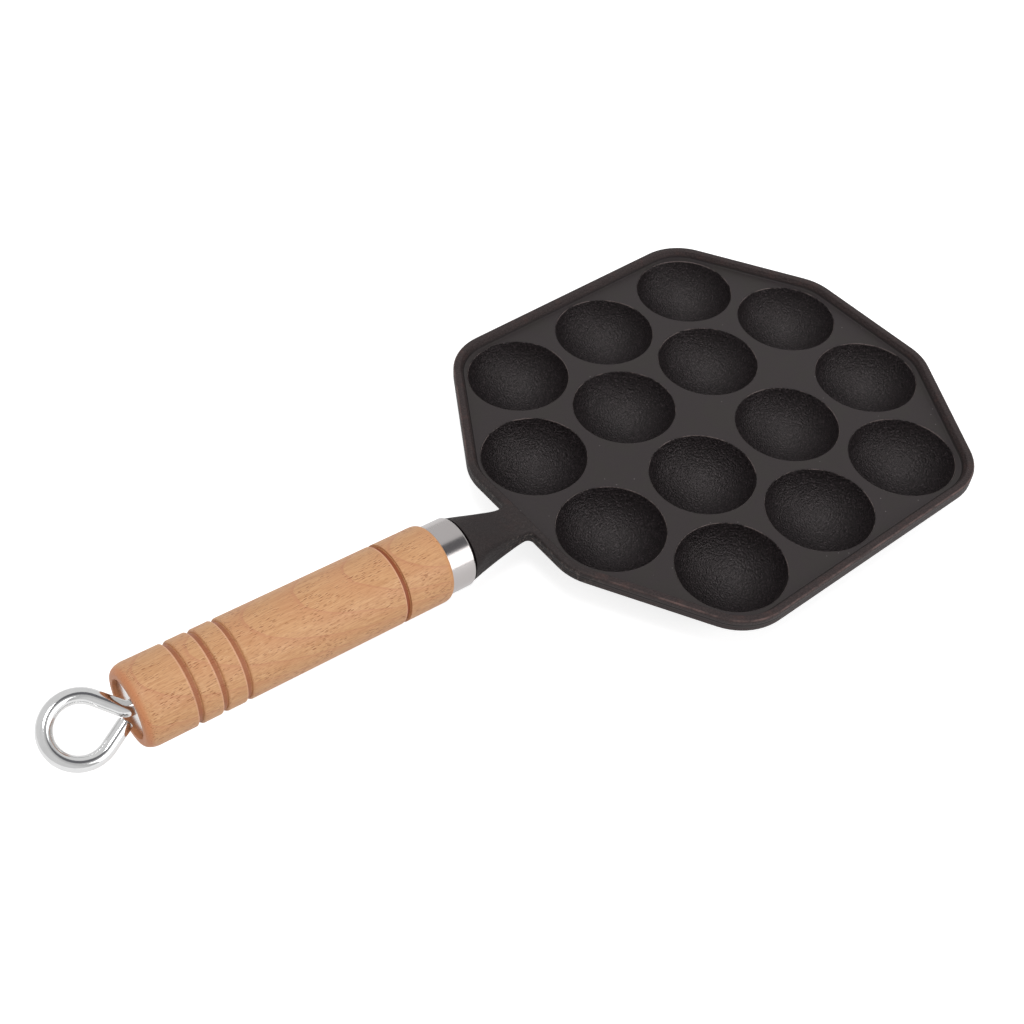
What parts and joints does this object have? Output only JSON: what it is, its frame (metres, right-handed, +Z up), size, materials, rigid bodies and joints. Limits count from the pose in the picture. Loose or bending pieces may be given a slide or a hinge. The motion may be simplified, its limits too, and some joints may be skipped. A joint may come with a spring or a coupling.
{
  "type": "takoyaki maker",
  "caption": "Hand-held cast-iron takoyaki pan: round-bottomed cups in a lipped plate, and a turned wooden handle held by a long steel eye bolt.",
  "frame": {"origin": "on the surface that the pan stands on, under the middle of the whole length and on the mirror line of the pan and handle", "axes": "+X from the handle to the far edge of the plate, +Y across the pan, +Z up out of the cups"},
  "size_m": [0.3618, 0.1726, 0.0503],
  "materials": {
    "cast_iron": "bare seasoned iron, satin on the plate and grainy as cast in the cups",
    "beech": "turned beech with a thin clear oil, dark flecks along the grain",
    "ferrule_steel": "bright drawn steel with fine turned lines",
    "plated_wire": "bright plated round wire"
  },
  "bodies": {
    "pan_and_handle": {"pan": "cast_iron", "ferrule": "ferrule_steel", "handle": "beech"},
    "washer": {"washer": "ferrule_steel"},
    "eye_bolt": {"eye_bolt": "plated_wire"}
  },
  "joints": [
    {"name": "eye_bolt_travel", "type": "slide", "parent": "pan_and_handle", "child": "washer", "axis": [-0.9943, 0, 0.1063], "range_m": [0, 0.0112]},
    {"name": "eye_bolt_turn", "type": "hinge", "parent": "washer", "child": "eye_bolt", "pos_m": [-0.15164, 0, 0.0366], "axis": [-0.9943, 0, 0.1063], "range_deg": [0, 5040]}
  ],
  "couplings": [
    {"joint": "eye_bolt_turn", "follows": "eye_bolt_travel", "rad_per_m": 7854}
  ]
}
